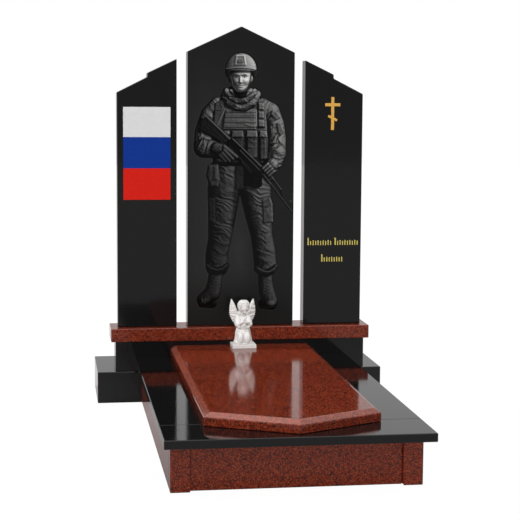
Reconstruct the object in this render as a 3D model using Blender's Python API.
"""Military grave monument: a kerbed grave with a pointed tomb slab and three standing stones.

Units are metres, +Z is up and the grave's foot faces -Y. The origin lies on the ground at the
middle of the whole monument. Every stone is its own object.
"""
import math

import bmesh
import bpy
from mathutils import Matrix, Vector

# Joints between stones, and the fine chamfer ground on their edges
JOINT_GAP = 0.0003
ARRIS = 0.003

# Base block behind the grave, and the pedestal and red shelf that it carries
BASE_WIDTH = 1.610
BASE_DEPTH = 0.510
BASE_HEIGHT = 0.175
PEDESTAL_WIDTH = 1.410
PEDESTAL_DEPTH = 0.170
PEDESTAL_HEIGHT = 0.170
PEDESTAL_SETBACK = 0.010
SHELF_OVERHANG = 0.025
SHELF_THICKNESS = 0.074

# Three standing stones, centred front to back on the shelf
STELA_THICKNESS = 0.100
STELA_GAP = 0.060
CENTRE_WIDTH = 0.600
CENTRE_SHOULDER = 1.532
CENTRE_APEX = 1.672
SIDE_WIDTH = 0.330
SIDE_INNER_HEIGHT = 1.490
SIDE_OUTER_HEIGHT = 1.305
SIDE_STEP_FROM_INNER = 0.162
SIDE_STEP_TOP = 1.412
SIDE_STEP_DROP = 0.022

# Kerb round the grave
KERB_WIDTH = 1.120
KERB_LENGTH = 1.880
KERB_HEIGHT = 0.218
POST_SIDE = 0.088
PANEL_THICKNESS = 0.060
FRONT_PANEL_RECESS = 0.025

# Black border strips that lie on the kerb
STRIP_THICKNESS = 0.040
STRIP_SIDE_OVERHANG = 0.035
STRIP_FRONT_OVERHANG = 0.110
FRONT_STRIP_DEPTH = 0.290
SIDE_STRIP_WIDTH = 0.245

# Red tomb slab with a pointed foot
SLAB_WIDTH = 0.800
SLAB_EDGE_HEIGHT = 0.040
SLAB_BEVEL_RISE = 0.020
SLAB_BEVEL_WIDTH = 0.030
SLAB_POINT_DEPTH = 0.205
SLAB_POINT_INSET = 0.045

# Marble angel on its own square base
ANGEL_HEIGHT = 0.265
ANGEL_BASE_WIDTH = 0.132
ANGEL_BASE_DEPTH = 0.122
ANGEL_BASE_HEIGHT = 0.020
ANGEL_SHELF_CLEARANCE = 0.005

# The figure's forms are shares of the angel's height, with its feet at this share.
# It is carved on a grid of this share, and keeps this share of the grid's faces.
FIGURE_FOOT = 0.07
FIGURE_GRAIN = 0.011
FIGURE_SHARE_OF_FACES = 0.15

# Heights and places that follow from the sizes above
TOTAL_LENGTH = STRIP_FRONT_OVERHANG + KERB_LENGTH + BASE_DEPTH
KERB_FRONT = STRIP_FRONT_OVERHANG - TOTAL_LENGTH / 2
BASE_FRONT = KERB_FRONT + KERB_LENGTH
PEDESTAL_FRONT = BASE_FRONT + PEDESTAL_SETBACK
PEDESTAL_TOP = BASE_HEIGHT + PEDESTAL_HEIGHT
SHELF_TOP = PEDESTAL_TOP + SHELF_THICKNESS
SHELF_MIDDLE = PEDESTAL_FRONT + PEDESTAL_DEPTH / 2
STRIP_FRONT = KERB_FRONT - STRIP_FRONT_OVERHANG
STRIP_TOP = KERB_HEIGHT + STRIP_THICKNESS
STRIP_OUTER = KERB_WIDTH / 2 + STRIP_SIDE_OVERHANG
SLAB_BOTTOM = STRIP_TOP + JOINT_GAP
SLAB_RIM = STRIP_TOP + SLAB_EDGE_HEIGHT
SLAB_TOP = SLAB_RIM + SLAB_BEVEL_RISE
SLAB_POINT = STRIP_FRONT + SLAB_POINT_INSET
SLAB_BACK = PEDESTAL_FRONT - JOINT_GAP
ANGEL_MIDDLE = PEDESTAL_FRONT - SHELF_OVERHANG - ANGEL_SHELF_CLEARANCE - ANGEL_BASE_DEPTH / 2


def stone(name, colour, roughness):
    """A material with a Principled shader."""
    material = bpy.data.materials.new(name)
    material.use_nodes = True
    shader = material.node_tree.nodes["Principled BSDF"]
    shader.inputs["Base Color"].default_value = (*colour, 1.0)
    shader.inputs["Roughness"].default_value = roughness
    shader.inputs["Metallic"].default_value = 0.0
    return material


def add_object(name, bm, location, material):
    """Puts a finished bmesh into the scene under its own name."""
    mesh = bpy.data.meshes.new(name)
    bm.to_mesh(mesh)
    bm.free()
    mesh.materials.append(material)
    piece = bpy.data.objects.new(name, mesh)
    piece.location = location
    bpy.context.collection.objects.link(piece)
    return piece


def grind_edges(piece):
    """Chamfers every sharp edge of a stone by the width of its arris."""
    chamfer = piece.modifiers.new("arris", "BEVEL")
    chamfer.width = ARRIS
    chamfer.segments = 1
    chamfer.limit_method = "ANGLE"
    chamfer.angle_limit = math.radians(20)
    chamfer.use_clamp_overlap = True


def block(name, low, high, material):
    """A sawn stone between two corners, placed by its middle."""
    low, high = Vector(low), Vector(high)
    bm = bmesh.new()
    bmesh.ops.create_cube(bm, size=1.0)
    bmesh.ops.scale(bm, vec=high - low, verts=bm.verts)
    piece = add_object(name, bm, (low + high) / 2, material)
    grind_edges(piece)
    return piece


def prism(bm, outline, push):
    """A flat outline pushed along a vector into a closed solid; returns its far face."""
    face = bm.faces.new([bm.verts.new(point) for point in outline])
    grown = bmesh.ops.extrude_face_region(bm, geom=[face], use_keep_orig=True)
    bmesh.ops.translate(bm, vec=push, verts=[item for item in grown["geom"] if isinstance(item, bmesh.types.BMVert)])
    return next(item for item in grown["geom"] if isinstance(item, bmesh.types.BMFace))


def stela(name, outline, material):
    """A standing stone: its front outline, in X and in heights above the shelf, pushed through its thickness."""
    middle = (min(x for x, height in outline) + max(x for x, height in outline)) / 2
    bm = bmesh.new()
    prism(bm, [(x - middle, -STELA_THICKNESS / 2, height) for x, height in outline], (0, STELA_THICKNESS, 0))
    bmesh.ops.recalc_face_normals(bm, faces=bm.faces)
    grind_edges(add_object(name, bm, (middle, SHELF_MIDDLE, SHELF_TOP), material))


def build_monument_back(black, red):
    """The base block, pedestal, shelf and the three standing stones."""
    block("base_block", (-BASE_WIDTH / 2, BASE_FRONT, 0),
          (BASE_WIDTH / 2, BASE_FRONT + BASE_DEPTH, BASE_HEIGHT), black)
    block("pedestal", (-PEDESTAL_WIDTH / 2, PEDESTAL_FRONT, BASE_HEIGHT + JOINT_GAP),
          (PEDESTAL_WIDTH / 2, PEDESTAL_FRONT + PEDESTAL_DEPTH, PEDESTAL_TOP), black)
    shelf_x = PEDESTAL_WIDTH / 2 + SHELF_OVERHANG
    shelf_y = PEDESTAL_DEPTH / 2 + SHELF_OVERHANG
    block("shelf", (-shelf_x, SHELF_MIDDLE - shelf_y, PEDESTAL_TOP + JOINT_GAP),
          (shelf_x, SHELF_MIDDLE + shelf_y, SHELF_TOP), red)
    half = CENTRE_WIDTH / 2
    stela("stela_centre", [(-half, JOINT_GAP), (half, JOINT_GAP), (half, CENTRE_SHOULDER), (0, CENTRE_APEX),
                           (-half, CENTRE_SHOULDER)], black)
    inner = half + STELA_GAP
    outer = inner + SIDE_WIDTH
    step = inner + SIDE_STEP_FROM_INNER
    side = [(inner, JOINT_GAP), (outer, JOINT_GAP), (outer, SIDE_OUTER_HEIGHT),
            (step, SIDE_STEP_TOP - SIDE_STEP_DROP), (step, SIDE_STEP_TOP), (inner, SIDE_INNER_HEIGHT)]
    stela("stela_right", side, black)
    stela("stela_left", [(-x, height) for x, height in reversed(side)], black)


def build_kerb(red):
    """Two corner posts, the recessed front panel and the two side panels."""
    half = KERB_WIDTH / 2
    front = KERB_FRONT
    for side, sign in (("left", -1), ("right", 1)):
        post = sorted((sign * half, sign * (half - POST_SIDE)))
        block("kerb_post_" + side, (post[0], front, 0), (post[1], front + POST_SIDE, KERB_HEIGHT), red)
        panel = sorted((sign * half, sign * (half - PANEL_THICKNESS)))
        block("kerb_side_" + side, (panel[0], front + POST_SIDE + JOINT_GAP, 0),
              (panel[1], BASE_FRONT - JOINT_GAP, KERB_HEIGHT), red)
    reach = half - POST_SIDE - JOINT_GAP
    panel_front = front + FRONT_PANEL_RECESS
    block("kerb_front", (-reach, panel_front, 0), (reach, panel_front + PANEL_THICKNESS, KERB_HEIGHT), red)


def build_border(black):
    """The front strip across the whole foot and a strip along each side."""
    bottom = KERB_HEIGHT + JOINT_GAP
    joint = STRIP_FRONT + FRONT_STRIP_DEPTH
    block("border_front", (-STRIP_OUTER, STRIP_FRONT, bottom), (STRIP_OUTER, joint, STRIP_TOP), black)
    for side, sign in (("left", -1), ("right", 1)):
        across = sorted((sign * STRIP_OUTER, sign * (STRIP_OUTER - SIDE_STRIP_WIDTH)))
        block("border_" + side, (across[0], joint + JOINT_GAP, bottom),
              (across[1], PEDESTAL_FRONT - JOINT_GAP, STRIP_TOP), black)


def build_tomb_slab(red):
    """The slab with its pointed foot, and a wide bevel along the foot and both sides."""
    half = SLAB_WIDTH / 2
    corner = SLAB_POINT + SLAB_POINT_DEPTH
    outline = [(-half, SLAB_BACK), (-half, corner), (0, SLAB_POINT), (half, corner), (half, SLAB_BACK)]
    slope = SLAB_POINT_DEPTH / half
    inner_half = half - SLAB_BEVEL_WIDTH
    inner_point = SLAB_POINT + SLAB_BEVEL_WIDTH * math.hypot(1, slope)
    inner_corner = inner_point + slope * inner_half
    inset = [(-inner_half, SLAB_BACK), (-inner_half, inner_corner), (0, inner_point),
             (inner_half, inner_corner), (inner_half, SLAB_BACK)]
    middle = (SLAB_POINT + SLAB_BACK) / 2
    bm = bmesh.new()
    lid = prism(bm, [(x, y - middle, 0) for x, y in outline], (0, 0, SLAB_RIM - SLAB_BOTTOM))
    edges = lid.edges[:]
    bmesh.ops.delete(bm, geom=[lid], context="FACES_ONLY")
    grown = bmesh.ops.extrude_edge_only(bm, edges=edges)
    top = [item for item in grown["geom"] if isinstance(item, bmesh.types.BMVert)]
    bmesh.ops.holes_fill(bm, edges=[item for item in grown["geom"] if isinstance(item, bmesh.types.BMEdge)])
    for vert in top:
        number = next(n for n, (x, y) in enumerate(outline) if (vert.co.xy - Vector((x, y - middle))).length < ARRIS)
        vert.co = (inset[number][0], inset[number][1] - middle, SLAB_TOP - SLAB_BOTTOM)
    bmesh.ops.recalc_face_normals(bm, faces=bm.faces)
    grind_edges(add_object("tomb_slab", bm, (0, middle, SLAB_BOTTOM), red))


def ball(bm, centre, radii, tilt=(0, 0, 0), around=20, rings=12):
    """An ellipsoid, turned about its middle by three angles in degrees."""
    turn = Matrix.Rotation(math.radians(tilt[2]), 4, "Z")
    turn = turn @ Matrix.Rotation(math.radians(tilt[1]), 4, "Y") @ Matrix.Rotation(math.radians(tilt[0]), 4, "X")
    place = Matrix.Translation(centre) @ turn @ Matrix.Diagonal((*radii, 1))
    bmesh.ops.create_uvsphere(bm, u_segments=around, v_segments=rings, radius=1.0, matrix=place)


def limb(bm, start, end, start_radius, end_radius):
    """A tapered round limb with rounded ends."""
    start, end = Vector(start), Vector(end)
    along = end - start
    place = Matrix.Translation((start + end) / 2) @ along.to_track_quat("Z", "Y").to_matrix().to_4x4()
    bmesh.ops.create_cone(bm, cap_ends=True, segments=20, radius1=start_radius, radius2=end_radius,
                          depth=along.length, matrix=place)
    ball(bm, start, (start_radius,) * 3)
    ball(bm, end, (end_radius,) * 3)


def feather(bm, root, tip, width, thickness):
    """A flat leaf-shaped feather from its root to its tip, with its width across the wing."""
    root, tip = Vector(root), Vector(tip)
    along = tip - root
    side = along.cross(Vector((0, 1, 0))).normalized()
    face = side.cross(along).normalized()
    turn = Matrix((side, face, along.normalized())).transposed().to_4x4()
    place = Matrix.Translation((root + tip) / 2) @ turn
    place = place @ Matrix.Diagonal((width / 2, thickness / 2, along.length / 2, 1))
    bmesh.ops.create_uvsphere(bm, u_segments=12, v_segments=10, radius=1.0, matrix=place)


def angel_wing(bm, sign):
    """One raised wing: a thick arm, and three fans of feathers from a pointed top round to the waist."""
    limb(bm, (sign * 0.045, 0.095, 0.550), (sign * 0.110, 0.160, 0.690), 0.050, 0.044)
    limb(bm, (sign * 0.110, 0.160, 0.690), (sign * 0.185, 0.160, 0.850), 0.044, 0.026)
    for rank, count in enumerate((9, 7, 5)):
        reach = (1.0, 0.74, 0.50)[rank]
        depth = 0.172 - 0.020 * rank
        for number in range(count):
            share = number / (count - 1)
            root = Vector((0.135 - 0.085 * share, depth, 0.740 - 0.200 * share))
            tip = Vector((0.245 + 0.050 * math.sin(math.pi * share) - 0.070 * share ** 3, depth,
                          0.995 - 0.520 * share))
            tip = root.lerp(tip, reach)
            root.x, tip.x = sign * root.x, sign * tip.x
            feather(bm, root.lerp(tip, -0.25), tip, 0.090 - 0.008 * rank, 0.040)


def angel_head(bm):
    """The bowed head, with a soft child's face and a cap of curls."""
    ball(bm, (0, -0.045, 0.825), (0.112, 0.118, 0.128), (18, 0, 0))
    ball(bm, (0, -0.093, 0.762), (0.082, 0.068, 0.068), (18, 0, 0))
    ball(bm, (0, -0.155, 0.785), (0.014, 0.018, 0.020))
    for sign in (-1, 1):
        ball(bm, (sign * 0.048, -0.118, 0.772), (0.036, 0.034, 0.034))
    ball(bm, (0, -0.020, 0.860), (0.120, 0.122, 0.118), (18, 0, 0))
    for level, (height, count, size) in enumerate(((0.800, 12, 0.034), (0.858, 12, 0.036), (0.912, 10, 0.036),
                                                   (0.952, 6, 0.034))):
        reach = math.sqrt(1 - ((height - 0.860) / 0.125) ** 2) * 0.108
        for number in range(count):
            angle = math.radians(360 * (number + 0.5 * (level % 2)) / count)
            if level < 2 and math.sin(angle) < -0.45:
                continue
            ball(bm, (reach * math.cos(angle), -0.018 + reach * math.sin(angle), height), (size, size, size * 0.9),
                 around=12, rings=8)


def angel_body(bm):
    """The kneeling body in its gown, with the hands raised and joined under the chin."""
    limb(bm, (0, 0.030, 0.650), (0, -0.020, 0.750), 0.060, 0.054)
    ball(bm, (0, 0.045, 0.560), (0.132, 0.102, 0.135))
    ball(bm, (0, 0.035, 0.420), (0.138, 0.122, 0.150))
    ball(bm, (0, 0.050, 0.270), (0.170, 0.165, 0.170))
    ball(bm, (0.010, 0.020, 0.115), (0.205, 0.205, 0.055))
    for sign in (-1, 1):
        limb(bm, (sign * 0.104, 0.030, 0.620), (sign * 0.124, -0.055, 0.485), 0.062, 0.066)
        limb(bm, (sign * 0.120, -0.060, 0.485), (sign * 0.034, -0.150, 0.600), 0.062, 0.038)
        limb(bm, (sign * 0.116, -0.080, 0.480), (sign * 0.092, -0.105, 0.430), 0.052, 0.034)
        limb(bm, (sign * 0.018, -0.155, 0.595), (sign * 0.010, -0.165, 0.665), 0.028, 0.016)
        limb(bm, (sign * 0.072, 0.050, 0.300), (sign * 0.066, -0.150, 0.195), 0.090, 0.076)
        limb(bm, (sign * 0.068, -0.145, 0.150), (sign * 0.085, 0.140, 0.120), 0.070, 0.046)
        limb(bm, (sign * 0.075, 0.140, 0.120), (sign * 0.078, 0.190, 0.105), 0.040, 0.028)
        for fold in range(7):
            share = fold / 6
            across = sign * (0.120 + 0.060 * math.sin(math.pi * share))
            behind = -0.080 + 0.235 * share
            limb(bm, (across * 0.72, behind * 0.75 + 0.015, 0.380), (across * (1.12 - 0.40 * share), behind, 0.105),
                 0.020, 0.026)


def build_angel(marble):
    """Fuses the figure's forms into one carved solid and stands it on its square base."""
    bm = bmesh.new()
    angel_body(bm)
    angel_head(bm)
    for sign in (-1, 1):
        angel_wing(bm, sign)
    size = (ANGEL_HEIGHT - ANGEL_BASE_HEIGHT) / (1 - FIGURE_FOOT)
    bmesh.ops.scale(bm, vec=(size,) * 3, verts=bm.verts)
    bottom = SLAB_TOP + JOINT_GAP
    angel = add_object("angel", bm, (0, ANGEL_MIDDLE, bottom + ANGEL_BASE_HEIGHT - FIGURE_FOOT * size), marble)
    fuse = angel.modifiers.new("fuse", "REMESH")
    fuse.mode = "VOXEL"
    fuse.voxel_size = size * FIGURE_GRAIN
    soften = angel.modifiers.new("soften", "SMOOTH")
    soften.factor = 0.5
    soften.iterations = 2
    thin = angel.modifiers.new("thin", "DECIMATE")
    thin.ratio = FIGURE_SHARE_OF_FACES
    plinth = bmesh.new()
    bmesh.ops.create_cube(plinth, size=1.0)
    bmesh.ops.scale(plinth, vec=(ANGEL_BASE_WIDTH, ANGEL_BASE_DEPTH, ANGEL_BASE_HEIGHT), verts=plinth.verts)
    bmesh.ops.bevel(plinth, geom=plinth.edges[:], offset=ARRIS / 2, segments=1, profile=0.5, affect="EDGES",
                    material=-1)
    base = add_object("angel_base_form", plinth,
                      (0, ANGEL_MIDDLE, bottom + ANGEL_BASE_HEIGHT / 2), marble)
    base.hide_render = True
    base.display_type = "WIRE"
    join = angel.modifiers.new("stand on base", "BOOLEAN")
    join.operation = "UNION"
    join.solver = "EXACT"
    join.object = base


def main():
    for old in list(bpy.data.objects):
        bpy.data.objects.remove(old)
    black = stone("black granite", (0.012, 0.012, 0.013), 0.12)
    red = stone("red granite", (0.165, 0.028, 0.018), 0.18)
    marble = stone("white marble", (0.80, 0.77, 0.73), 0.45)
    build_monument_back(black, red)
    build_kerb(red)
    build_border(black)
    build_tomb_slab(red)
    build_angel(marble)


main()
